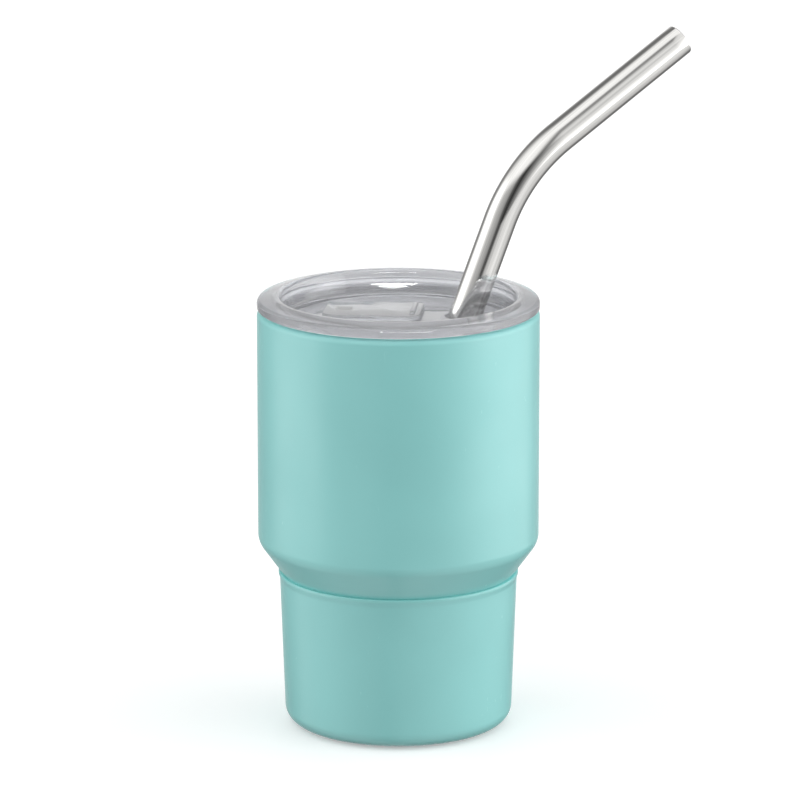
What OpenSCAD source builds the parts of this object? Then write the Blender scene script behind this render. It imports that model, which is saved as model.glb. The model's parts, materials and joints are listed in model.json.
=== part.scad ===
// Double-wall mini tumbler with a press-in clear lid, a sliding cover and a bent steel straw.
// The origin is the centre of the foot ring on the table, and +Z is up.

/* [Painted shells] */
// Outer diameter of the upper shell
body_d = 52; // [50:0.5:54]
// Height of the steel rim
body_h = 78.4; // [77:0.1:80]
// Height of the corner between the upper shell's cone and its wall
shoulder_z = 34.9; // [33.5:0.1:37]
// Rounding of that corner
shoulder_r = 3.6; // [2:0.2:5]
// Outer diameter of the neck between the two shells
neck_d = 42.6; // [42:0.1:42.8]
// Height at which the upper shell's cone meets the neck
neck_z = 28.4; // [27.8:0.1:29]
// Outer diameter of the lower shell at its lip
lip_d = 44.5; // [44.4:0.1:45]
// Height of the lower shell's lip
lip_z = 28.9; // [28.5:0.1:29.4]
// Outer diameter of the lower shell at the table, before the corner is rounded
base_d = 42; // [41:0.1:42.4]
// Rounding of the lower shell's bottom corner
base_r = 3.2; // [2:0.1:3.6]
// Thickness of both painted shells
shell_t = 0.5; // [0.4:0.05:0.6]

/* [Steel liner] */
// Inner diameter of the liner's upper chamber
liner_d = 46.4; // [46.4:0.1:47]
// Inner diameter of the liner at its neck
liner_neck_d = 39; // [38:0.1:39.4]
// Inner diameter of the liner at its floor
liner_base_d = 37.4; // [36.6:0.1:37.6]
// Height of the liner's floor, inside the cup
cup_floor_z = 5.5; // [5.2:0.1:7]
// Thickness of the liner
liner_t = 0.4; // [0.3:0.05:0.5]

/* [Lid] */
// Outer diameter of the lid's flange
lid_d = 52; // [51:0.1:53]
// Height of the top of the lid's rim
lid_top_z = 81; // [80.8:0.1:82]
// Diameter of the recess at its top
recess_d = 43.5; // [43:0.1:44]
// Depth of the recess, from the rim to the floor
recess_depth = 4.2; // [4:0.1:4.4]
// Direction of the slider's track, seen from above
track_az = -6; // [-30:1:30]
// Diameter of the straw's hole at its top
hole_d = 7.5; // [7.5:0.1:8]

/* [Slider] */
// Width of the sliding cover
slider_w = 13; // [12:0.5:13.5]
// Length of the sliding cover
slider_l = 18; // [17.5:0.1:18.2]
// Travel from open to closed, with the straw taken out
slider_stroke = 12.5; // [12:0.1:12.6]

/* [Straw] */
// Outer diameter of the straw
straw_d = 6; // [5.8:0.1:6]
// Wall of the straw
straw_t = 0.5; // [0.3:0.1:0.6]
// Lean of the straw's leg from the vertical
leg_tilt = 19.4; // [18:0.1:20]
// Turn of the bend about the leg, from the slider's track
straw_turn = 44; // [0:1:90]
// Angle of the bend
bend_angle = 42.5; // [30:0.5:50]
// Radius of the bend, on the straw's centreline
bend_r = 26; // [20:1:32]
// Straight length of the leg above the lid's floor
leg_above = 20.2; // [18:0.1:24]
// Straight length of the arm above the bend
arm_l = 30; // [24:0.5:36]

/* [Hidden] */
$fn = 96;

// Shells
seam_r = 24.6;                     // where the shell and the liner are welded at the rim
rim_round = 1.3;                   // rounding of the painted rim
spigot_z = 24.5;                   // lower end of the neck, inside the lower shell
cone_angle = atan2(body_d / 2 - neck_d / 2, shoulder_z - neck_z);
cone_drop = shell_t * tan(cone_angle / 2);
foot_in_r = 16.7;                  // inner radius of the foot ring
collar_h = 1.3;                    // height of the collar round the base cover
lip_flare_z = 1.4;                 // height of the flare below the lower shell's lip
lip_in_r = 21.6;                   // inner radius of the lower shell's mouth

// Liner
liner_neck_z = 27;
liner_shoulder_z = 33.6;
liner_cone = atan2(liner_d / 2 - liner_neck_d / 2, liner_shoulder_z - liner_neck_z);
liner_drop = liner_t * tan(liner_cone / 2);
liner_rim_round = 1;

// Base
plate_z = 2.4;
plate_r = 20.35;
plate_t = 0.5;
dimple_r = 4;
dimple_floor_r = 2.8;
dimple_h = 0.7;
vent_r = 1;
cover_z = 0.5;
cover_t = 0.5;
cover_panel_r = 12.5;
cover_panel_h = 0.4;
getter_x = 9;
getter_r = 4;
getter_h = 1;
getter_t = 0.3;

// Lid
plug_r = 22.75;
skirt_in_r = 20.7;
skirt_z = 71.8;
groove_r = 21.9;
groove_z = 73;
groove_h = 2.6;
flange_z = body_h + 0.1;
floor_z = lid_top_z - recess_depth;
floor_under_z = 74.9;
moat_r = 18.8;
moat_depth = 0.35;
recess_floor_r = 20.75;
track_h = 0.5;
track_z = floor_z + track_h;
track_w = slider_w + 1;
track_end = 17.4;
track_start = -15.4;
hole_offset = 12.4;                // from the lid's axis to the hole's axis
hole_land = 0.8;                   // height of the hole's straight part, above its flared lower part
hole_flare = 1;                    // how much wider the hole's radius is at the lid's underside
fit_gap = 0.05;                    // radial and axial gap of the ring in its groove
gasket_tip_r = liner_d / 2 - 0.08;
gasket_lip_h = 0.8;

// Slider
slider_end = 4.4;                  // the cover's edge next to the straw, when it is open
slider_z = track_z + fit_gap;
slider_t = 1;
stem_w = 3;
stem_gap = 0.15;
stem_end = slider_end - slider_l + 2.1;
slot_w = stem_w + 2 * stem_gap;
slot_l = slider_stroke + stem_w + 2 * stem_gap;
stem_foot_w = 6;
stem_foot_l = 5;
stem_foot_t = 0.9;
grip_x = slider_end - 1.5;          // the grip bar's centre line
grip_w = 0.9;
grip_l = 8;
grip_h = 0.5;

// Straw: the pivot is the point of the leg's centreline at the middle of the hole
pivot_z = (track_z + floor_under_z) / 2;
leg_offset = 11.9;                 // from the lid's axis to the pivot
foot_z = 9.6;                      // the leg's lower end, 3 mm above the liner's floor (140 mm of straw)
leg_below = (pivot_z - foot_z) / cos(leg_tilt);
arm_seat = 0.3;                    // the arm starts this far inside the bend
arm_step = 0.02;                   // and its wall is thinner by this, so that it lies inside the bend

// Vector of length 1
function unit(v) = v / norm(v);

// Smallest turn that equals an angle
function turn(a) = a > 180 ? a - 360 : a < -180 ? a + 360 : a;

// The corner b of the outline a, b, c, rounded by radius r with n chords
function corner(a, b, c, r, n = 6) =
    r == 0 ? [b] :
    let (u = unit(a - b), v = unit(c - b), half = acos(u * v) / 2,
         centre = b + unit(u + v) * r / sin(half),
         p = b + u * r / tan(half) - centre,
         q = b + v * r / tan(half) - centre,
         from = atan2(p.y, p.x), sweep = turn(atan2(q.y, q.x) - from))
    [for (i = [0:n]) centre + r * [cos(from + sweep * i / n), sin(from + sweep * i / n)]];

// A closed outline of [radius, height, rounding] corners
function rounded(pts) =
    let (n = len(pts), flat = [for (p = pts) [p[0], p[1]]])
    [for (i = [0:n - 1]) each corner(flat[(i + n - 1) % n], flat[i], flat[(i + 1) % n], pts[i][2])];

module turned(pts) {
    rotate_extrude() polygon(rounded(pts));
}

// A flat plate with round corners, from x0 to x1
module plate(x0, x1, w, r, h) {
    translate([(x0 + x1) / 2, 0, 0]) linear_extrude(h) square_round(x1 - x0, w, r);
}

// A rectangle with round corners, centred
module square_round(l, w, r) {
    square([l - 2 * r, w], center = true);
    square([l, w - 2 * r], center = true);
    for (x = [-1, 1], y = [-1, 1]) translate([x * (l / 2 - r), y * (w / 2 - r)]) circle(r);
}

// Painted upper shell: wall, rolled rim, cone and the spigot that enters the lower shell
module upper_shell() {
    color("#9FE0D8") turned([
        [neck_d / 2, spigot_z, 0.2],
        [neck_d / 2, neck_z, 1],
        [body_d / 2, shoulder_z, shoulder_r],
        [body_d / 2, body_h, rim_round],
        [seam_r, body_h, 0],
        [seam_r, body_h - shell_t, 0],
        [body_d / 2 - shell_t, body_h - shell_t, rim_round - shell_t],
        [body_d / 2 - shell_t, shoulder_z + cone_drop, shoulder_r - shell_t],
        [neck_d / 2 - shell_t, neck_z + cone_drop, 1 + shell_t],
        [neck_d / 2 - shell_t, spigot_z, 0.2]]);
}

// Painted lower shell: a tapered cup with a crisp lip, a foot ring and a collar for the base cover
module lower_shell() {
    color("#9FE0D8") turned([
        [foot_in_r, 0, 0.25],
        [base_d / 2, 0, base_r],
        [lip_d / 2 - 0.25, lip_z - lip_flare_z, 2],
        [lip_d / 2, lip_z - 0.5, 0.3],
        [lip_d / 2, lip_z, 0.2],
        [lip_in_r, lip_z, 0.15],
        [lip_in_r - 0.05, lip_z - lip_flare_z, 1],
        [base_d / 2 - shell_t, shell_t, base_r - shell_t],
        [foot_in_r + shell_t, shell_t, 0.2],
        [foot_in_r + shell_t, collar_h, 0],
        [foot_in_r, collar_h, 0]]);
}

// Steel liner: the stepped inner cup, flared out to the weld at the rim
module inner_liner() {
    color("silver") turned([
        [0, cup_floor_z, 0],
        [liner_base_d / 2, cup_floor_z, 3.2],
        [liner_neck_d / 2, liner_neck_z, 3],
        [liner_d / 2, liner_shoulder_z, 3],
        [liner_d / 2, body_h, liner_rim_round],
        [seam_r, body_h, 0],
        [seam_r, body_h - liner_t, 0],
        [liner_d / 2 + liner_t, body_h - liner_t, liner_rim_round - liner_t],
        [liner_d / 2 + liner_t, liner_shoulder_z - liner_drop, 3 + liner_t],
        [liner_neck_d / 2 + liner_t, liner_neck_z - liner_drop, 3 - liner_t],
        [liner_base_d / 2 + liner_t, cup_floor_z - liner_t, 3.2 + liner_t],
        [0, cup_floor_z - liner_t, 0]]);
}

// Pressed plate that closes the vacuum, with a dimple and the vent through which the air is drawn
module vacuum_base() {
    color("gray") turned([
        [vent_r, plate_z + dimple_h, 0],
        [dimple_floor_r, plate_z + dimple_h, 0.3],
        [dimple_r, plate_z, 0.4],
        [plate_r, plate_z, 0.2],
        [plate_r, plate_z + plate_t, 0.2],
        [dimple_r, plate_z + plate_t, 0.6],
        [dimple_floor_r, plate_z + dimple_h + plate_t, 0.3],
        [vent_r, plate_z + dimple_h + plate_t, 0]]);
}

// Solder that fills the dimple and the vent
module seal_bead() {
    color("dimgray") turned([
        [0, plate_z + 0.1, 0],
        [dimple_floor_r - 0.5, plate_z + 0.2, 0.6],
        [dimple_floor_r - 0.2, plate_z + dimple_h, 0],
        [vent_r, plate_z + dimple_h, 0],
        [vent_r, plate_z + dimple_h + plate_t, 0],
        [0, plate_z + dimple_h + plate_t, 0]]);
}

// Small steel cup that holds the getter in the vacuum
module getter_holder() {
    color("silver") translate([getter_x, 0, plate_z + plate_t]) difference() {
        cylinder(r = getter_r, h = getter_h);
        translate([0, 0, getter_t]) cylinder(r = getter_r - getter_t, h = getter_h);
    }
}

// Pressed getter powder, which takes up the last gas
module getter_pellet() {
    color("darkgray") translate([getter_x, 0, plate_z + plate_t + getter_t])
        cylinder(r = getter_r - getter_t, h = getter_h - getter_t - 0.1);
}

// Bare steel disc that hides the vent, with a raised panel
module base_cover() {
    color("lightgray") turned([
        [0, cover_z + cover_panel_h, 0],
        [cover_panel_r, cover_z + cover_panel_h, 0.3],
        [cover_panel_r + 0.7, cover_z, 0.3],
        [foot_in_r, cover_z, 0.2],
        [foot_in_r, cover_z + cover_t, 0.1],
        [cover_panel_r + 0.7, cover_z + cover_t, 0.3],
        [cover_panel_r, cover_z + cover_panel_h + cover_t, 0.3],
        [0, cover_z + cover_panel_h + cover_t, 0]]);
}

// Silicone ring with two lips that grip the liner's mouth
module lid_gasket() {
    in_r = groove_r + fit_gap;
    z0 = groove_z + fit_gap;
    z1 = groove_z + groove_h - fit_gap;
    color("whitesmoke") turned([
        [in_r, z0, 0],
        [plug_r - 0.2, z0, 0],
        [gasket_tip_r, z0 + 0.35, 0.1],
        [plug_r - 0.1, z0 + gasket_lip_h, 0.1],
        [plug_r - 0.1, z1 - gasket_lip_h, 0.1],
        [gasket_tip_r, z1 - 0.35, 0.1],
        [plug_r - 0.2, z1, 0],
        [in_r, z1, 0]]);
}

// The lid without its openings: plug, gasket groove, flange, rim, recess and floor
module lid_blank() {
    turned([
        [skirt_in_r, skirt_z, 0.4],
        [plug_r, skirt_z, 0.6],
        [plug_r, groove_z, 0],
        [groove_r, groove_z, 0],
        [groove_r, groove_z + groove_h, 0],
        [plug_r, groove_z + groove_h, 0],
        [plug_r, flange_z, 0.3],
        [lid_d / 2, flange_z, 0.4],
        [lid_d / 2, lid_top_z - 0.7, 0.9],
        [recess_d / 2 + 1.2, lid_top_z, 1.5],
        [recess_d / 2, lid_top_z, 0.6],
        [recess_floor_r, floor_z - moat_depth, 1],
        [moat_r, floor_z - moat_depth, 0.2],
        [moat_r - 0.3, floor_z, 0.2],
        [0, floor_z, 0],
        [0, floor_under_z, 0],
        [skirt_in_r, floor_under_z, 0.5]]);
}

// The space of the straw's hole, starting 1 mm under the lid's floor: a flared part, then a straight one
module straw_hole() {
    r = hole_d / 2;
    flare_h = track_z - hole_land - floor_under_z;
    slope = hole_flare / flare_h;
    rotate_extrude() polygon([
        [0, 0],
        [r + hole_flare + slope, 0],
        [r, 1 + flare_h],
        [r, lid_top_z],
        [0, lid_top_z]]);
}

// Clear lid with the slider's raised track, its slot and the straw's hole
module lid_body() {
    color("lightsteelblue", 0.5) rotate(track_az) difference() {
        union() {
            lid_blank();
            translate([0, 0, floor_z - 0.1]) plate(track_start, track_end, track_w, 6, track_h + 0.1);
        }
        translate([hole_offset, 0, floor_under_z - 1]) straw_hole();
        translate([0, 0, floor_under_z - 1])
            plate(stem_end - stem_gap, stem_end - stem_gap + slot_l, slot_w, 0.4, lid_top_z);
    }
}

// Clear sliding cover: plate with a grip bar, a stem through the slot and a foot under the lid's floor
module slider() {
    color("lightblue", 0.6) rotate(track_az) {
        translate([0, 0, slider_z]) plate(slider_end - slider_l, slider_end, slider_w, 2.5, slider_t);
        translate([grip_x, 0, slider_z + slider_t - 0.1])
            plate(-grip_w / 2, grip_w / 2, grip_l, 0.4, grip_h + 0.1);
        translate([0, 0, floor_under_z - 0.2])
            plate(stem_end, stem_end + stem_w, stem_w, 0.3, slider_z - floor_under_z + 0.4);
        translate([stem_end + stem_w / 2, 0, floor_under_z - 0.1 - stem_foot_t])
            plate(-stem_foot_l / 2, stem_foot_l / 2, stem_foot_w, 0.5, stem_foot_t);
    }
}

// A round rod along the straw's path. It is longer than the straw by extra at both ends, and the arm is
// wider than the rest by step where it enters the bend's end face.
module straw_rod(d, extra, step) {
    translate([0, 0, -leg_below - extra]) cylinder(d = d, h = leg_below + leg_above + extra);
    translate([bend_r, 0, leg_above]) rotate([90, 0, 180]) rotate_extrude(angle = bend_angle)
        translate([bend_r, 0]) circle(d = d);
    translate([bend_r * (1 - cos(bend_angle)), 0, leg_above + bend_r * sin(bend_angle)])
        rotate([0, bend_angle, 0]) translate([0, 0, -arm_seat])
            cylinder(d = d + step, h = arm_l + arm_seat + extra);
}

// Steel straw: the leg in the cup, the bend and the arm
module straw() {
    color("silver") rotate(track_az) translate([leg_offset, 0, pivot_z]) rotate([0, leg_tilt, 0])
        rotate(straw_turn) difference() {
            straw_rod(straw_d, 0, -arm_step);
            straw_rod(straw_d - 2 * straw_t, 1, arm_step);
        }
}

upper_shell();
lower_shell();
inner_liner();
vacuum_base();
seal_bead();
getter_holder();
getter_pellet();
base_cover();
lid_gasket();
lid_body();
slider();
straw();
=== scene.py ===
"""Looks of the insulated mini tumbler: painted steel shells, clear lid, sliding cover, bent steel straw.

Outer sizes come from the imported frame. The rest are named detail sizes, the same as in the part's source.
Outlines and detail sizes are in millimetres, and the meshes made from them are in metres.
"""
import json
import math

import bmesh
import bpy
from mathutils import Matrix, Vector


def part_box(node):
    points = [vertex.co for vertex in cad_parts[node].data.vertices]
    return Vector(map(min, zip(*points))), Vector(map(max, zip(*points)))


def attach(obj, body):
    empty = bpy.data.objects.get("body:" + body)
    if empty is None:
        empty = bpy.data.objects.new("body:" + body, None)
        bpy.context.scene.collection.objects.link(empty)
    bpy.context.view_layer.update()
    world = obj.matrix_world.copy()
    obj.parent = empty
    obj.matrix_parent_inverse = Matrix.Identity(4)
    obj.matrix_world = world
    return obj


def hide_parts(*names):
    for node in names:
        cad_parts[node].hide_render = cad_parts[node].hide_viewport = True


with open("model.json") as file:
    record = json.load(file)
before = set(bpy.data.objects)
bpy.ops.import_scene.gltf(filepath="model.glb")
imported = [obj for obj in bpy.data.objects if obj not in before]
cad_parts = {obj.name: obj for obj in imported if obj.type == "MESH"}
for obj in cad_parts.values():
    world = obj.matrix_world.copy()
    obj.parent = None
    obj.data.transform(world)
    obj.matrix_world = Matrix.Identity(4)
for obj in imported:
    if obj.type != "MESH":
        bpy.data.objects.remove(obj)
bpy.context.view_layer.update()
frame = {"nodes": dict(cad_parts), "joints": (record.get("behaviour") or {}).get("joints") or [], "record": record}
RECORD = frame["record"]
MM = 0.001
TURNS = 256                                   # steps round a turned piece


# ---------------------------------------------------------------- outlines

def fillet(a, b, c, radius, steps):
    """The points of the outline a, b, c at its corner b, which is rounded by radius."""
    a, b, c = Vector(a), Vector(b), Vector(c)
    u, v = (a - b).normalized(), (c - b).normalized()
    half = u.angle(v) / 2
    if radius == 0 or half > math.radians(89.5):
        return [tuple(b)]
    centre = b + (u + v).normalized() * radius / math.sin(half)
    p, q = b + u * radius / math.tan(half) - centre, b + v * radius / math.tan(half) - centre
    start = math.atan2(p.y, p.x)
    sweep = (math.atan2(q.y, q.x) - start + math.pi) % (2 * math.pi) - math.pi
    return [tuple(centre + radius * Vector((math.cos(start + sweep * i / steps),
                                            math.sin(start + sweep * i / steps))))
            for i in range(steps + 1)]


def rounded(corners, steps=8):
    """A closed outline of (radius, height, rounding) corners, in millimetres, as points."""
    n = len(corners)
    points = []
    for i, (r, z, rounding) in enumerate(corners):
        before, after = corners[i - 1][:2], corners[(i + 1) % n][:2]
        points += fillet(before, (r, z), after, rounding, steps)
    return points


# ---------------------------------------------------------------- meshes

def new_object(name, bm, sharp=30):
    """A mesh object from a bmesh, smooth except at edges sharper than an angle in degrees."""
    bmesh.ops.remove_doubles(bm, verts=bm.verts, dist=1e-7)
    bmesh.ops.recalc_face_normals(bm, faces=bm.faces)
    mesh = bpy.data.meshes.new(name)
    bm.to_mesh(mesh)
    bm.free()
    obj = bpy.data.objects.new(name, mesh)
    bpy.context.scene.collection.objects.link(obj)
    shade(obj, sharp)
    return obj


def shade(obj, sharp):
    """Smooth shading, broken at edges sharper than an angle in degrees."""
    obj.data.shade_smooth()
    obj.data.set_sharp_from_angle(angle=math.radians(sharp))


def stitch(bm, rings):
    """Faces between each ring of vertices and the next, and from the last ring back to the first."""
    for ring, following in zip(rings, rings[1:] + rings[:1]):
        turns = max(len(ring), len(following))
        if turns == 1:
            continue
        for k in range(turns):
            m = (k + 1) % turns
            if len(ring) == 1:
                bm.faces.new((ring[0], following[m], following[k]))
            elif len(following) == 1:
                bm.faces.new((ring[k], ring[m], following[0]))
            else:
                bm.faces.new((ring[k], ring[m], following[m], following[k]))


def lathe_mesh(outline, turns=TURNS):
    """A bmesh turned round Z from a closed outline of (radius, height) points in millimetres."""
    bm = bmesh.new()
    rings = []
    for r, z in outline:
        if r < 1e-6:
            rings.append([bm.verts.new((0, 0, z * MM))])
            continue
        rings.append([bm.verts.new((r * MM * math.cos(2 * math.pi * k / turns),
                                    r * MM * math.sin(2 * math.pi * k / turns), z * MM))
                      for k in range(turns)])
    stitch(bm, rings)
    return bm


def lathe(name, corners, steps=8, turns=TURNS, sharp=30):
    """An object turned round Z from (radius, height, rounding) corners in millimetres."""
    return new_object(name, lathe_mesh(rounded(corners, steps), turns), sharp)


def pill(x0, x1, width, radius, levels, corner_steps=10):
    """A bmesh slab with a round-cornered outline from x0 to x1. levels are (height, inset) pairs."""
    bm = bmesh.new()
    left, right, side = x0 + radius, x1 - radius, width / 2 - radius
    centres = ((right, side, 0), (left, side, 90), (left, -side, 180), (right, -side, 270))
    rings = []
    for z, inset in levels:
        r = radius - inset
        ring = []
        for cx, cy, start in centres:
            for i in range(corner_steps + 1):
                a = math.radians(start + 90 * i / corner_steps)
                x, y = cx + r * math.cos(a), cy + r * math.sin(a)
                ring.append(bm.verts.new((x * MM, y * MM, z * MM)))
        rings.append(ring)
    n = len(rings[0])
    for low, high in zip(rings, rings[1:]):
        for k in range(n):
            bm.faces.new((low[k], low[(k + 1) % n], high[(k + 1) % n], high[k]))
    bm.faces.new(rings[0][::-1])
    bm.faces.new(rings[-1])
    return bm


def edge_arc(rounding, steps=5):
    """(inset, rise) pairs of a slab's rounded edge, from its flat face to its side."""
    angles = [math.pi / 2 * i / steps for i in range(steps + 1)]
    return [(rounding * (1 - math.sin(a)), rounding * (1 - math.cos(a))) for a in angles]


def soft_foot(z, rounding):
    """(height, inset) pairs of a slab's rounded lower edge, its flat face at height z."""
    return [(z + rise, inset) for inset, rise in edge_arc(rounding)]


def soft_top(z, rounding):
    """(height, inset) pairs of a slab's rounded upper edge, its flat face at height z."""
    return [(z - rise, inset) for inset, rise in reversed(edge_arc(rounding))]


def boolean(obj, other, how):
    """obj joined with other, or cut by it. other is used up."""
    mod = obj.modifiers.new(how.lower(), "BOOLEAN")
    mod.operation = how
    mod.solver = "EXACT"
    mod.object = other
    bpy.context.view_layer.objects.active = obj
    bpy.ops.object.modifier_apply(modifier=mod.name)
    bpy.data.objects.remove(other)


def turn_to(obj, degrees_z):
    """obj, with its mesh turned round Z by an angle in degrees."""
    obj.data.transform(Matrix.Rotation(math.radians(degrees_z), 4, "Z"))
    return obj


# ---------------------------------------------------------------- material kit

class Nodes:
    """Short calls for building the nodes of one material, or of the world."""

    def __init__(self, tree):
        self.tree = tree
        self.tree.nodes.clear()

    def add(self, kind, **values):
        """A new node with its settings."""
        node = self.tree.nodes.new(kind)
        for key, value in values.items():
            setattr(node, key, value)
        return node

    def link(self, a, b):
        self.tree.links.new(a, b)

    def place(self, scale=(1, 1, 1), attribute=None):
        """Object coordinates in metres, or a stored vector attribute, stretched by scale."""
        if attribute:
            source = self.add("ShaderNodeAttribute", attribute_name=attribute).outputs["Vector"]
        else:
            source = self.add("ShaderNodeTexCoord").outputs["Object"]
        mapping = self.add("ShaderNodeMapping")
        mapping.inputs["Scale"].default_value = scale
        self.link(source, mapping.inputs["Vector"])
        return mapping.outputs["Vector"]

    def rings(self, scale_r, scale_z):
        """Coordinates that only change with the distance from the cup's axis and with height."""
        split = self.add("ShaderNodeSeparateXYZ")
        self.link(self.add("ShaderNodeTexCoord").outputs["Object"], split.inputs[0])
        flat = self.add("ShaderNodeCombineXYZ")
        self.link(split.outputs["X"], flat.inputs["X"])
        self.link(split.outputs["Y"], flat.inputs["Y"])
        radius = self.add("ShaderNodeVectorMath", operation="LENGTH")
        self.link(flat.outputs[0], radius.inputs[0])
        out = self.add("ShaderNodeCombineXYZ")
        self.link(self.math("MULTIPLY", radius.outputs["Value"], scale_r), out.inputs["X"])
        self.link(self.math("MULTIPLY", split.outputs["Z"], scale_z), out.inputs["Y"])
        return out.outputs[0]

    def math(self, operation, a, b=None, clamp=False):
        """The result of a Math node on a and b, which are numbers or sockets."""
        node = self.add("ShaderNodeMath", operation=operation, use_clamp=clamp)
        for socket, value in zip(node.inputs, (a, b)):
            if value is None:
                continue
            if isinstance(value, (int, float)):
                socket.default_value = value
            else:
                self.link(value, socket)
        return node.outputs[0]

    def noise(self, vector, scale, detail=3.0, rough=0.5):
        """A noise value, mostly between 0.3 and 0.7."""
        node = self.add("ShaderNodeTexNoise")
        node.inputs["Scale"].default_value = scale
        node.inputs["Detail"].default_value = detail
        node.inputs["Roughness"].default_value = rough
        self.link(vector, node.inputs["Vector"])
        return node.outputs["Fac"]

    def spread(self, value, low, high, to_low, to_high):
        """value from low..high, eased to to_low..to_high."""
        node = self.add("ShaderNodeMapRange", interpolation_type="SMOOTHSTEP")
        for key, number in (("From Min", low), ("From Max", high), ("To Min", to_low), ("To Max", to_high)):
            node.inputs[key].default_value = number
        self.link(value, node.inputs["Value"])
        return node.outputs[0]

    def mix(self, factor, a, b):
        """The colour a where factor is 0 and b where it is 1. They are tuples or sockets."""
        node = self.add("ShaderNodeMix", data_type="RGBA")
        self.link(factor, node.inputs["Factor"])
        for key, value in (("A", a), ("B", b)):
            if isinstance(value, tuple):
                node.inputs[key].default_value = (*value, 1)
            else:
                self.link(value, node.inputs[key])
        return node.outputs["Result"]

    def bump(self, height, distance, strength=1.0, under=None):
        """A normal that follows height, on top of the normal under."""
        node = self.add("ShaderNodeBump")
        node.inputs["Strength"].default_value = strength
        node.inputs["Distance"].default_value = distance
        self.link(height, node.inputs["Height"])
        if under:
            self.link(under, node.inputs["Normal"])
        return node.outputs["Normal"]

    def principled(self, **values):
        """The shader and the output, with each named input set or linked."""
        shader = self.add("ShaderNodeBsdfPrincipled")
        self.link(shader.outputs["BSDF"], self.add("ShaderNodeOutputMaterial").inputs["Surface"])
        for key, value in values.items():
            socket = shader.inputs[key.replace("_", " ")]
            if isinstance(value, (int, float)):
                socket.default_value = value
            elif isinstance(value, tuple):
                socket.default_value = (*value, 1)
            else:
                self.link(value, socket)


def new_material(name):
    """An empty material and the calls that fill it."""
    material = bpy.data.materials.new(name)
    material.use_nodes = True
    return material, Nodes(material.node_tree)


# ---------------------------------------------------------------- materials

MINT = (0.345, 0.795, 0.776)
MINT_DEEP = (0.329, 0.762, 0.744)
MINT_WORN = (0.46, 0.84, 0.82)
RUBBED_EDGE = (0.46, 0.52, 0.51)
RUBBED_H = 1.1 * MM                           # height of the rubbed band at the foot
STRAW_DARK = (0.68, 0.673, 0.655)
STRAW_BRIGHT = (0.79, 0.782, 0.763)


def mint_paint():
    """Even gloss paint with a fine orange peel, a few scuffs and a rubbed edge at the foot."""
    material, n = new_material("mint_gloss_paint")
    place = n.place()
    cloud = n.noise(place, 45, 2)
    pigment = n.noise(place, 5200, 2)
    tone = n.mix(n.spread(cloud, 0.3, 0.7, 0, 1), MINT_DEEP, MINT)
    speckled = n.mix(n.spread(pigment, 0.62, 0.8, 0, 0.18), tone, MINT_WORN)
    height = n.add("ShaderNodeSeparateXYZ")
    n.link(place, height.inputs[0])
    rub = n.noise(place, 900, 4, 0.7)
    near_foot = n.spread(height.outputs["Z"], 0.0, RUBBED_H, 1, 0)
    worn = n.math("MULTIPLY", near_foot, n.spread(rub, 0.45, 0.62, 0, 1))
    colour = n.mix(worn, speckled, RUBBED_EDGE)
    peel = n.noise(place, 620, 2, 0.4)
    scuff = n.noise(n.place((1, 1, 0.25)), 1500, 3, 0.6)
    smudge = n.noise(place, 75, 3)
    rough = n.math("ADD", n.spread(smudge, 0.35, 0.7, 0.20, 0.27), n.spread(scuff, 0.68, 0.8, 0, 0.12))
    rough = n.math("ADD", rough, n.math("MULTIPLY", worn, 0.3), clamp=True)
    normal = n.bump(scuff, 0.002 * MM, 0.5, under=n.bump(peel, 0.012 * MM, 0.6))
    n.principled(Base_Color=colour, Roughness=rough, Normal=normal, IOR=1.5,
                 Specular_IOR_Level=0.62)
    return material


def brushed_steel(name, tint, ring_scale=1.0):
    """Steel with the fine rings that turning and polishing leave."""
    material, n = new_material(name)
    lines = n.noise(n.rings(9000 * ring_scale, 9000 * ring_scale), 1.0, 4, 0.7)
    wide = n.noise(n.rings(700 * ring_scale, 700 * ring_scale), 1.0, 2)
    stain = n.noise(n.place(), 160, 4)
    dark = tuple(0.82 * c for c in tint)
    colour = n.mix(n.spread(lines, 0.3, 0.7, 0, 1), dark, tint)
    colour = n.mix(n.spread(stain, 0.55, 0.8, 0, 0.25), colour, tuple(0.7 * c for c in tint))
    rough = n.math("ADD", n.spread(lines, 0.3, 0.75, 0.2, 0.34), n.spread(stain, 0.5, 0.8, 0, 0.08))
    normal = n.bump(lines, 0.004 * MM, 0.5, under=n.bump(wide, 0.01 * MM, 0.4))
    n.principled(Base_Color=colour, Metallic=1.0, Roughness=rough, Normal=normal)
    return material


def polished_straw():
    """Drawn and polished stainless tube: faint lines along it and a few handling marks."""
    material, n = new_material("polished_straw_steel")
    along = n.place((2600, 2600, 26), "tube_place")
    lines = n.noise(along, 1.0, 3, 0.6)
    marks = n.noise(n.place(attribute="tube_place"), 420, 4, 0.65)
    colour = n.mix(n.spread(lines, 0.3, 0.7, 0, 1), STRAW_DARK, STRAW_BRIGHT)
    rough = n.math("ADD", n.spread(lines, 0.35, 0.75, 0.08, 0.14), n.spread(marks, 0.6, 0.8, 0, 0.1))
    normal = n.bump(lines, 0.0012 * MM, 0.4)
    n.principled(Base_Color=colour, Metallic=1.0, Roughness=rough, Normal=normal)
    return material


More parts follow.
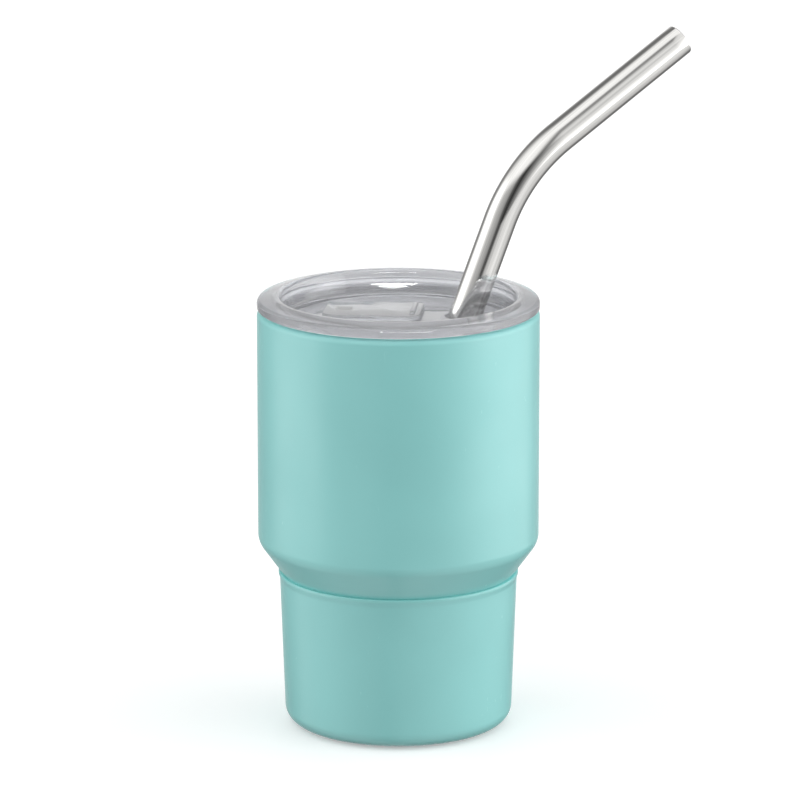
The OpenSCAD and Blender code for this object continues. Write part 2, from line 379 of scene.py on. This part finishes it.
def clear_plastic(name, tint, clarity, flow_scale=260):
    """Moulded plastic, clear but for a little milkiness, with faint flow waves and fine scratches."""
    material, n = new_material(name)
    place = n.place()
    waves = n.noise(place, flow_scale, 2, 0.4)
    scratch = n.noise(n.place((1, 6, 1)), 1400, 3, 0.6)
    turned = n.noise(n.rings(1500, 1500), 1.0, 2, 0.5)
    rough = n.math("ADD", n.spread(scratch, 0.6, 0.8, 0.012, 0.06), n.spread(waves, 0.5, 0.8, 0, 0.015))
    colour = n.mix(n.spread(waves, 0.3, 0.7, 0, 1), tint, tuple(min(1, 1.02 * c) for c in tint))
    flow = n.bump(turned, 0.03 * MM, 0.6, under=n.bump(waves, 0.03 * MM, 0.5))
    normal = n.bump(scratch, 0.0015 * MM, 0.4, under=flow)
    n.principled(Base_Color=colour, Roughness=rough, Normal=normal, IOR=1.49,
                 Transmission_Weight=clarity)
    return material


def silicone():
    """Cloudy clear rubber with a little dust."""
    material, n = new_material("clear_silicone")
    place = n.place()
    grain = n.noise(place, 2400, 3)
    dust = n.noise(place, 500, 4)
    colour = n.mix(n.spread(dust, 0.4, 0.7, 0, 1), (0.86, 0.88, 0.88), (0.92, 0.94, 0.94))
    rough = n.spread(grain, 0.3, 0.7, 0.35, 0.5)
    n.principled(Base_Color=colour, Roughness=rough, Normal=n.bump(grain, 0.004 * MM, 0.5),
                 IOR=1.41, Transmission_Weight=0.6)
    return material


def dull_metal(name, tint, rough_low, rough_high, grain_scale):
    """Grainy grey metal or metal powder, as on the small parts inside the base."""
    material, n = new_material(name)
    place = n.place()
    grain = n.noise(place, grain_scale, 4, 0.65)
    colour = n.mix(n.spread(grain, 0.3, 0.7, 0, 1), tuple(0.75 * c for c in tint), tint)
    rough = n.spread(grain, 0.3, 0.7, rough_low, rough_high)
    n.principled(Base_Color=colour, Metallic=0.8, Roughness=rough,
                 Normal=n.bump(grain, 0.02 * MM, 0.7))
    return material


def dress(obj, material, slot, body, *nodes):
    """Gives a new piece its material and its body, and lets it stand for CAD nodes. The slot is not used."""
    obj.data.materials.clear()
    obj.data.materials.append(material)
    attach(obj, body)
    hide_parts(*nodes)
    return obj


PAINT = mint_paint()
LINER_STEEL = brushed_steel("liner_steel", (0.72, 0.715, 0.70))
BASE_STEEL = brushed_steel("base_steel", (0.74, 0.735, 0.72), 0.7)
STRAW_STEEL = polished_straw()
LID_PLASTIC = clear_plastic("clear_lid_plastic", (0.94, 0.95, 0.985), 0.77)
SLIDER_PLASTIC = clear_plastic("clear_slider_plastic", (0.91, 0.92, 0.94), 0.8, 320)
SILICONE = silicone()
BRAZE = dull_metal("braze", (0.32, 0.31, 0.30), 0.35, 0.55, 900)
GETTER = dull_metal("getter_powder", (0.14, 0.14, 0.15), 0.75, 0.95, 2600)


# ---------------------------------------------------------------- sizes from the frame, in millimetres

def reach(node):
    """(radius, lowest height, highest height) of a turned CAD node."""
    low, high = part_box(node)
    return high.y / MM, low.z / MM, high.z / MM


BODY_R, SPIGOT_Z, BODY_H = reach("upper_shell")
LIP_R, _, LIP_Z = reach("lower_shell")
SEAM_R, LINER_UNDER_Z, _ = reach("inner_liner")
COVER_R, COVER_Z, COVER_TOP_Z = reach("base_cover")
GASKET_R, GASKET_Z, GASKET_TOP_Z = reach("lid_gasket")
_, SKIRT_Z, LID_TOP_Z = reach("lid_body")

# Detail sizes, the same as in the part's source
SHELL_T = 0.5
LINER_T = 0.4
NECK_R = 21.3
NECK_Z = 28.4
NECK_ROUND = 1
SHOULDER_Z = 34.9
SHOULDER_ROUND = 3.6
BASE_R = 21.0
BASE_ROUND = 3.2
RIM_ROUND = 1.3
CONE = math.atan2(BODY_R - NECK_R, SHOULDER_Z - NECK_Z)
CONE_DROP = SHELL_T * math.tan(CONE / 2)      # how far the cone's inside is below its outside


# ---------------------------------------------------------------- painted shells

def upper_shell():
    """The body, its rolled rim, the cone below it and the spigot that goes into the lower shell."""
    corners = [
        (NECK_R, SPIGOT_Z, 0.2),
        (NECK_R, NECK_Z, NECK_ROUND),
        (BODY_R, SHOULDER_Z, SHOULDER_ROUND),
        (BODY_R, BODY_H, RIM_ROUND),
        (SEAM_R, BODY_H, 0),
        (SEAM_R, BODY_H - SHELL_T, 0),
        (BODY_R - SHELL_T, BODY_H - SHELL_T, RIM_ROUND - SHELL_T),
        (BODY_R - SHELL_T, SHOULDER_Z + CONE_DROP, SHOULDER_ROUND - SHELL_T),
        (NECK_R - SHELL_T, NECK_Z + CONE_DROP, NECK_ROUND + SHELL_T),
        (NECK_R - SHELL_T, SPIGOT_Z, 0.2)]
    return lathe("upper_shell_painted", corners, steps=12)


def lower_shell():
    """The narrow lower part, from the seat of the base cover to the lip at the seam."""
    flare_z = LIP_Z - 1.4
    mouth_r = LIP_R - 0.65
    seat_top_z = 1.3
    corners = [
        (COVER_R, 0, 0.25),
        (BASE_R, 0, BASE_ROUND),
        (LIP_R - 0.25, flare_z, 2),
        (LIP_R, LIP_Z - 0.5, 0.3),
        (LIP_R, LIP_Z, 0.2),
        (mouth_r, LIP_Z, 0.15),
        (mouth_r - 0.05, flare_z, 1),
        (BASE_R - SHELL_T, SHELL_T, BASE_ROUND - SHELL_T),
        (COVER_R + SHELL_T, SHELL_T, 0.2),
        (COVER_R + SHELL_T, seat_top_z, 0),
        (COVER_R, seat_top_z, 0)]
    return lathe("lower_shell_painted", corners, steps=12)


# ---------------------------------------------------------------- steel inside and below

def inner_liner():
    """The stepped inner cup, flared out to the rim."""
    bore_r, neck_r, base_r = 23.2, 19.5, 18.7
    neck_z, shoulder_z = 27.0, 33.6
    floor_z = LINER_UNDER_Z + LINER_T
    drop = LINER_T * math.tan(math.atan2(bore_r - neck_r, shoulder_z - neck_z) / 2)
    corners = [
        (0, floor_z, 0),
        (base_r, floor_z, 3.2),
        (neck_r, neck_z, 3),
        (bore_r, shoulder_z, 3),
        (bore_r, BODY_H, 1),
        (SEAM_R, BODY_H, 0),
        (SEAM_R, BODY_H - LINER_T, 0),
        (bore_r + LINER_T, BODY_H - LINER_T, 0.6),
        (bore_r + LINER_T, shoulder_z - drop, 3.4),
        (neck_r + LINER_T, neck_z - drop, 2.6),
        (base_r + LINER_T, LINER_UNDER_Z, 3.6),
        (0, LINER_UNDER_Z, 0)]
    return lathe("inner_liner_steel", corners, steps=12)


def base_cover():
    """The pressed disc under the foot, with a raised panel in its middle."""
    panel_r, step_r, sheet = 12.5, 13.2, 0.5
    panel_z = COVER_TOP_Z - sheet
    corners = [
        (0, panel_z, 0),
        (panel_r, panel_z, 0.3),
        (step_r, COVER_Z, 0.3),
        (COVER_R, COVER_Z, 0.2),
        (COVER_R, COVER_Z + sheet, 0.1),
        (step_r, COVER_Z + sheet, 0.3),
        (panel_r, COVER_TOP_Z, 0.3),
        (0, COVER_TOP_Z, 0)]
    return lathe("base_cover_steel", corners)


# ---------------------------------------------------------------- lid, gasket and slider

# The lid and the slider are made with the track along X, and then turned to the slider's own axis.

TRACK_JOINT = next(j for j in frame["joints"] if j["name"] == "slider_slide")
TRACK_AZ = math.degrees(math.atan2(TRACK_JOINT["axis"][1], TRACK_JOINT["axis"][0]))
PLUG_R = 22.75                                # of the part that goes into the cup
FLOOR_Z = LID_TOP_Z - 4.2
FLOOR_UNDER_Z = 74.9
TRACK_H = 0.5                                 # of the raised track above the lid's floor
TRACK_Z = FLOOR_Z + TRACK_H
TRACK_X0, TRACK_X1 = -15.4, 17.4
TRACK_ROUND = 6
HOLE_X, HOLE_R = 12.4, 3.75
HOLE_LAND = 0.8                               # height of the hole's straight part
SLIDER_W, SLIDER_L, SLIDER_END, SLIDER_T = 13.0, 18.0, 4.4, 1.0
SLIDER_Z = TRACK_Z + 0.05
STEM_X = SLIDER_END - SLIDER_L + 2.1
STEM_L = STEM_W = 3
STEM_GAP = 0.15                               # round the stem in its slot
SLIDER_TRAVEL = 12.5
SLOT_W = 3.3
SLOT_L = SLIDER_TRAVEL + SLOT_W               # the slot holds the square stem, with its gaps, all the way
CUT = 1                                       # how far a cutter runs past the face it cuts


def lid_blank():
    """The lid without its track and openings: skirt, gasket groove, rim, bowed recess wall and floor."""
    groove_r, groove_z, groove_h = 21.9, 73.0, 2.6
    recess_r, moat_r, moat_depth = 21.75, 18.8, 0.35
    skirt_in_r = 20.7
    rim_under_z = BODY_H + 0.1
    wall_foot_r = 20.75
    wall_r, wall_z = 21.32, 78.5              # where the wall bows, a fine shape that the CAD lid leaves out
    corners = [
        (skirt_in_r, SKIRT_Z, 0.4),
        (PLUG_R, SKIRT_Z, 0.6),
        (PLUG_R, groove_z, 0.1),
        (groove_r, groove_z, 0.1),
        (groove_r, groove_z + groove_h, 0.1),
        (PLUG_R, groove_z + groove_h, 0.1),
        (PLUG_R, rim_under_z, 0.3),
        (BODY_R, rim_under_z, 0.4),
        (BODY_R, LID_TOP_Z - 0.7, 0.9),
        (recess_r + 1.2, LID_TOP_Z, 1.5),
        (recess_r, LID_TOP_Z, 0.9),
        (wall_r, wall_z, 8),
        (wall_foot_r, FLOOR_Z - moat_depth, 1.3),
        (moat_r, FLOOR_Z - moat_depth, 0.15),
        (moat_r - 0.3, FLOOR_Z, 0.15),
        (0, FLOOR_Z, 0),
        (0, FLOOR_UNDER_Z, 0),
        (skirt_in_r, FLOOR_UNDER_Z, 0.5)]
    return lathe("lid_clear", corners, steps=10)


def track():
    """The raised flat that the slider runs on. It goes a little way into the lid's floor."""
    levels = [(FLOOR_Z - 0.6, 0)] + soft_top(TRACK_Z, 0.18)
    return new_object("track", pill(TRACK_X0, TRACK_X1, SLIDER_W + 1, TRACK_ROUND, levels, 16))


def straw_hole():
    """The cutter for the straw's hole: flared below, straight at the top, with a softened upper edge."""
    bottom_z, top_z = FLOOR_UNDER_Z - CUT, TRACK_Z + 0.88
    flare_r = HOLE_R + 1.625
    corners = [
        (0, bottom_z, 0),
        (flare_r, bottom_z, 0),
        (HOLE_R, TRACK_Z - HOLE_LAND, 0.3),
        (HOLE_R, TRACK_Z - 0.12, 0.3),
        (HOLE_R + 1, top_z, 0),
        (0, top_z, 0)]
    hole = lathe("straw_hole", corners, turns=96)
    hole.data.transform(Matrix.Translation((HOLE_X * MM, 0, 0)))
    return hole


def stem_slot():
    """The cutter for the slot that the slider's stem moves in."""
    x0 = STEM_X - STEM_GAP
    levels = [(FLOOR_UNDER_Z - CUT, 0), (TRACK_Z + CUT, 0)]
    return new_object("stem_slot", pill(x0, x0 + SLOT_L, SLOT_W, 0.4, levels))


def lid_body():
    """The clear lid with its track, straw hole and slot."""
    lid = lid_blank()
    boolean(lid, track(), "UNION")
    boolean(lid, straw_hole(), "DIFFERENCE")
    boolean(lid, stem_slot(), "DIFFERENCE")
    shade(lid, 30)
    return turn_to(lid, TRACK_AZ)


def gasket():
    """The sealing ring in the lid's groove, with a lip at its top and one at its bottom."""
    inner_r, root_r, shoulder_r = 21.95, PLUG_R - 0.1, PLUG_R - 0.2
    lip_h, web_h = 0.35, 0.8
    corners = [
        (inner_r, GASKET_Z, 0.1),
        (shoulder_r, GASKET_Z, 0.1),
        (GASKET_R, GASKET_Z + lip_h, 0.1),
        (root_r, GASKET_Z + web_h, 0.15),
        (root_r, GASKET_TOP_Z - web_h, 0.15),
        (GASKET_R, GASKET_TOP_Z - lip_h, 0.1),
        (shoulder_r, GASKET_TOP_Z, 0.1),
        (inner_r, GASKET_TOP_Z, 0.1)]
    return lathe("lid_gasket_silicone", corners, steps=5, sharp=60)


def slider():
    """The sliding cover with its grip bar, and the stem and foot that hold it in the slot."""
    top_z, middle_z = SLIDER_Z + SLIDER_T, SLIDER_Z + 0.5
    grip_x0, grip_x1, grip_w, grip_h = SLIDER_END - 1.95, SLIDER_END - 1.05, 8, 0.5
    foot_reach, foot_w = 1, 6
    cover = new_object("slider_clear", pill(SLIDER_END - SLIDER_L, SLIDER_END, SLIDER_W, 2.5,
                                            soft_foot(SLIDER_Z, 0.22) + soft_top(top_z, 0.22), 12))
    grip = new_object("grip", pill(grip_x0, grip_x1, grip_w, 0.4,
                                   [(middle_z, 0)] + soft_top(top_z + grip_h, 0.2), 8))
    stem = new_object("stem", pill(STEM_X, STEM_X + STEM_L, STEM_W, 0.3,
                                   [(FLOOR_UNDER_Z - 0.5, 0), (middle_z, 0)]))
    foot = new_object("foot", pill(STEM_X - foot_reach, STEM_X + STEM_L + foot_reach, foot_w, 0.5,
                                   soft_foot(FLOOR_UNDER_Z - 1, 0.15) + soft_top(FLOOR_UNDER_Z - 0.1, 0.15)))
    for part in (grip, stem, foot):
        boolean(cover, part, "UNION")
    shade(cover, 30)
    return turn_to(cover, TRACK_AZ)


# ---------------------------------------------------------------- straw

STRAW_R = 3.0
STRAW_T = 0.5
BEND_R = 26.0


def straw_path():
    """(points, tangents, side vector) of the centreline, from the foot to the tip, in millimetres."""
    arm = next(m for m in RECORD["mounts"] if m["name"] == "straw_tip")
    leg = Vector(next(j for j in frame["joints"] if j["name"] == "straw_lift")["axis"]).normalized()
    out = Vector(arm["axis"]).normalized()
    half = out * arm["dims"]["length_mm"] / 2
    centre = Vector(arm["pos_m"]) / MM
    start, tip = centre - half, centre + half
    bend = leg.angle(out)
    side = leg.cross(out).normalized()
    toward = side.cross(leg).normalized()      # square to the leg, to the side that the arm leans
    corner = start - out * BEND_R * math.tan(bend / 2)
    knee = corner - leg * BEND_R * math.tan(bend / 2)
    foot_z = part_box("straw")[0].z / MM + STRAW_R * math.sqrt(1 - leg.z ** 2)
    foot = knee - leg * (knee.z - foot_z) / leg.z
    points, tangents = [], []
    leg_steps, bend_steps, arm_steps = 24, 48, 12
    for i in range(leg_steps):
        points.append(foot.lerp(knee, i / leg_steps))
        tangents.append(leg)
    for i in range(bend_steps):
        a = bend * i / bend_steps
        points.append(knee + leg * BEND_R * math.sin(a) + toward * BEND_R * (1 - math.cos(a)))
        tangents.append(leg * math.cos(a) + toward * math.sin(a))
    for i in range(arm_steps + 1):
        points.append(start.lerp(tip, i / arm_steps))
        tangents.append(out)
    return points, tangents, side


def straw_stations(points, tangents):
    """(centre, tangent, radius, distance along) of each ring: foot lip, outside, tip lip and bore."""
    lip, lip_steps = STRAW_T / 2, 8
    mid_r = STRAW_R - lip
    between = range(1, len(points) - 1)
    length = [0.0]
    for a, b in zip(points, points[1:]):
        length.append(length[-1] + (b - a).length)
    angles = [math.pi * i / lip_steps for i in range(lip_steps + 1)]
    stations = []
    for a in angles:                           # from the bore outwards
        back = lip * (1 - math.sin(a))
        stations.append((points[0] + tangents[0] * back, tangents[0], mid_r - lip * math.cos(a), back))
    for i in between:
        stations.append((points[i], tangents[i], STRAW_R, length[i]))
    for a in angles:                           # from the outside inwards
        back = lip * (1 - math.sin(a))
        stations.append((points[-1] - tangents[-1] * back, tangents[-1], mid_r + lip * math.cos(a),
                         length[-1] - back))
    for i in reversed(between):
        stations.append((points[i], tangents[i], STRAW_R - STRAW_T, length[i]))
    return stations


def straw():
    """The bent tube, open at both ends. tube_place keeps each vertex's place on the straightened tube."""
    points, tangents, side = straw_path()
    turns = 96
    bm = bmesh.new()
    store = bm.verts.layers.float_vector.new("tube_place")
    rings = []
    for centre, tangent, radius, along in straw_stations(points, tangents):
        up = side.cross(tangent)
        ring = []
        for k in range(turns):
            a = 2 * math.pi * k / turns
            vert = bm.verts.new((centre + radius * (side * math.cos(a) + up * math.sin(a))) * MM)
            vert[store] = Vector((radius * math.cos(a), radius * math.sin(a), along)) * MM
            ring.append(vert)
        rings.append(ring)
    stitch(bm, rings)
    return new_object("straw_polished", bm, sharp=60)


# ---------------------------------------------------------------- the object

dress(upper_shell(), PAINT, "painted_steel", "cup", "upper_shell")
dress(lower_shell(), PAINT, "painted_steel", "cup", "lower_shell")
dress(inner_liner(), LINER_STEEL, "liner_steel", "cup", "inner_liner")
dress(base_cover(), BASE_STEEL, "base_steel", "cup", "base_cover")
dress(gasket(), SILICONE, "silicone", "gasket", "lid_gasket")
LID = dress(lid_body(), LID_PLASTIC, "lid_plastic", "lid", "lid_body")
SLIDER = dress(slider(), SLIDER_PLASTIC, "slider_plastic", "slider", "slider")
dress(straw(), STRAW_STEEL, "straw_steel", "straw", "straw")
for node_name, material in (("vacuum_base", BASE_STEEL), ("seal_bead", BRAZE),
                            ("getter_holder", LINER_STEEL), ("getter_pellet", GETTER)):
    node = frame["nodes"][node_name]
    node.data.materials.clear()
    node.data.materials.append(material)


# ---------------------------------------------------------------- camera, floor and light

CAMERA_LENS = 244.1                           # millimetres, on a sensor 36 mm wide
CAMERA_AT = (0.0003, -0.9713, 0.2989)         # metres
CAMERA_DOWN = 13.76                           # degrees below level


def camera():
    """The photograph's view: a long lens in front of the cup, looking a little down."""
    data = bpy.data.cameras.new("camera")
    data.lens = CAMERA_LENS
    data.sensor_width = 36
    data.clip_start, data.clip_end = 0.05, 20
    obj = bpy.data.objects.new("camera", data)
    obj.location = CAMERA_AT
    obj.rotation_euler = (math.radians(90 - CAMERA_DOWN), 0, 0)
    bpy.context.scene.collection.objects.link(obj)
    bpy.context.scene.camera = obj


FLOOR_HALF = 3                                # metres, half of the floor's side
FLOOR_DROP = 0.0002                           # metres under the cup's foot
FLOOR_GLOW = 0.34


def grey(level):
    """A grey colour of one brightness."""
    return (level, level, level)


def floor():
    """A plain floor that looks nearly white, but throws less light up, so the cone keeps its dark band."""
    bm = bmesh.new()
    bmesh.ops.create_grid(bm, x_segments=1, y_segments=1, size=FLOOR_HALF)
    plane = new_object("floor", bm)
    plane.location.z = -FLOOR_DROP
    material, n = new_material("pale_floor")
    grain = n.noise(n.place(), 40, 3)
    seen = n.add("ShaderNodeLightPath").outputs["Is Camera Ray"]
    pale = n.mix(grain, grey(0.80), grey(0.82))
    n.principled(Base_Color=n.mix(seen, grey(0.45), pale), Roughness=0.9,
                 Emission_Color=grey(1.0), Emission_Strength=n.math("MULTIPLY", seen, FLOOR_GLOW))
    plane.data.materials.append(material)
    plane.visible_glossy = False


# The studio's light at three heights, as (azimuth, brightness) pairs. Azimuths are in degrees: 0 is where
# the camera stands, and they grow to its right. Between two pairs the light changes evenly.
LOW_RING = [
    (-180, 0.9), (-165, 0.5), (-150, 0.25), (-132, 0.25), (-120, 0.55), (-110, 0.9), (-60, 1.0), (-40, 0.7),
    (-25, 0.5), (-18, 0.35), (-12, 0.2), (-6, 0.2), (0, 0.45), (6, 0.6), (24, 0.8), (37, 1.0), (66, 1.05),
    (83, 0.9), (106, 0.7), (118, 0.5), (132, 0.2), (149, 0.16), (165, 0.4), (180, 0.9)]
MID_RING = [
    (-180, 1.0), (-168, 0.7), (-158, 0.35), (-147, 0.28), (-132, 0.3), (-121, 0.7), (-113, 1.4), (-100, 1.9),
    (-72, 2.1), (-60, 1.0), (-48, 0.65), (-26, 0.48), (-18, 0.36), (-12, 0.14), (2, 0.03), (10, 0.12),
    (22, 0.3), (35, 0.65), (48, 1.2), (61, 2.2), (76, 2.95), (93, 2.9), (105, 2.3), (117, 1.8), (127, 1.4),
    (139, 0.5), (149, 0.3), (165, 0.5), (180, 1.0)]
HIGH_RING = [
    (-180, 1.0), (-168, 0.5), (-155, 0.2), (-142, 0.2), (-130, 0.45), (-114, 0.8), (-97, 1.1), (-60, 1.3),
    (-20, 1.2), (-8, 1.0), (0, 0.7), (8, 0.35), (14, 0.25), (18, 0.4), (24, 0.85), (30, 1.0), (40, 1.1),
    (80, 1.15), (120, 0.8), (140, 0.3), (160, 0.4), (180, 1.0)]
RING_TOP = 3.0                                # a colour ramp holds 0 to 1, so it is scaled by this
CEILING = 1.2
LOW_TO_MID = (-20, -14.5)                     # the heights, in degrees, where one ring fades into the next
MID_TO_HIGH = (18, 36)
HIGH_TO_CEILING = (61, 71)

LAMP_AZ = math.radians(4)
LAMP_RISE = math.radians(17.5)
LAMP_FAR = 1.2                                # metres from the lid
LAMP_SIZE = (1.0, 0.13)                       # metres
LAMP_WATTS = 9


def highlight_lamp(*pieces):
    """A wide, low bright panel, a little higher than the camera, that lights only the given pieces."""
    data = bpy.data.lights.new("highlight_lamp", "AREA")
    data.shape = "ELLIPSE"
    data.size, data.size_y = LAMP_SIZE
    data.energy = LAMP_WATTS
    lamp = bpy.data.objects.new("highlight_lamp", data)
    away = Vector((math.sin(LAMP_AZ) * math.cos(LAMP_RISE), -math.cos(LAMP_AZ) * math.cos(LAMP_RISE),
                   math.sin(LAMP_RISE)))
    lamp.location = Vector((0, 0, LID_TOP_Z * MM)) + away * LAMP_FAR
    lamp.rotation_euler = away.to_track_quat("Z", "Y").to_euler()
    lamp.visible_diffuse = False
    lamp.visible_camera = False
    bpy.context.scene.collection.objects.link(lamp)
    lit = bpy.data.collections.new("lit_by_highlight_lamp")
    for piece in pieces:
        lit.objects.link(piece)
    lamp.light_linking.receiver_collection = lit


def studio():
    """A soft white studio: a softbox on each side, an even roof, and a dark gap where the camera stands."""
    world = bpy.data.worlds.new("studio")
    bpy.context.scene.world = world
    world.use_nodes = True
    n = Nodes(world.node_tree)
    split = n.add("ShaderNodeSeparateXYZ")
    n.link(n.add("ShaderNodeTexCoord").outputs["Generated"], split.inputs[0])
    azimuth = n.math("ARCTAN2", split.outputs["X"], n.math("MULTIPLY", split.outputs["Y"], -1.0))
    share = n.math("ADD", n.math("DIVIDE", azimuth, 2 * math.pi), 0.5)

    def ring(levels):
        """The light all round at one height."""
        ramp = n.add("ShaderNodeValToRGB")
        while len(ramp.color_ramp.elements) < len(levels):
            ramp.color_ramp.elements.new(0.5)
        for element, (degrees, level) in zip(ramp.color_ramp.elements, levels):
            element.position = (degrees + 180) / 360
            element.color = (*grey(level / RING_TOP), 1)
        n.link(share, ramp.inputs[0])
        return ramp.outputs["Color"]

    def above(degrees_from, degrees_to):
        """0 below the first height, 1 above the second."""
        return n.spread(split.outputs["Z"], math.sin(math.radians(degrees_from)),
                        math.sin(math.radians(degrees_to)), 0, 1)

    light = n.mix(above(*LOW_TO_MID), ring(LOW_RING), ring(MID_RING))
    light = n.mix(above(*MID_TO_HIGH), light, ring(HIGH_RING))
    light = n.mix(above(*HIGH_TO_CEILING), light, grey(CEILING / RING_TOP))
    studio_light = n.add("ShaderNodeBackground")
    studio_light.inputs["Strength"].default_value = RING_TOP
    n.link(light, studio_light.inputs["Color"])
    backdrop = n.add("ShaderNodeBackground")
    backdrop.inputs["Color"].default_value = (1, 1, 1, 1)
    choice = n.add("ShaderNodeMixShader")
    n.link(n.add("ShaderNodeLightPath").outputs["Is Camera Ray"], choice.inputs[0])
    n.link(studio_light.outputs[0], choice.inputs[1])
    n.link(backdrop.outputs[0], choice.inputs[2])
    n.link(choice.outputs[0], n.add("ShaderNodeOutputWorld").inputs["Surface"])


camera()
floor()
studio()
highlight_lamp(LID, SLIDER)
view = bpy.context.scene.view_settings
view.view_transform = "Standard"
view.look = "None"
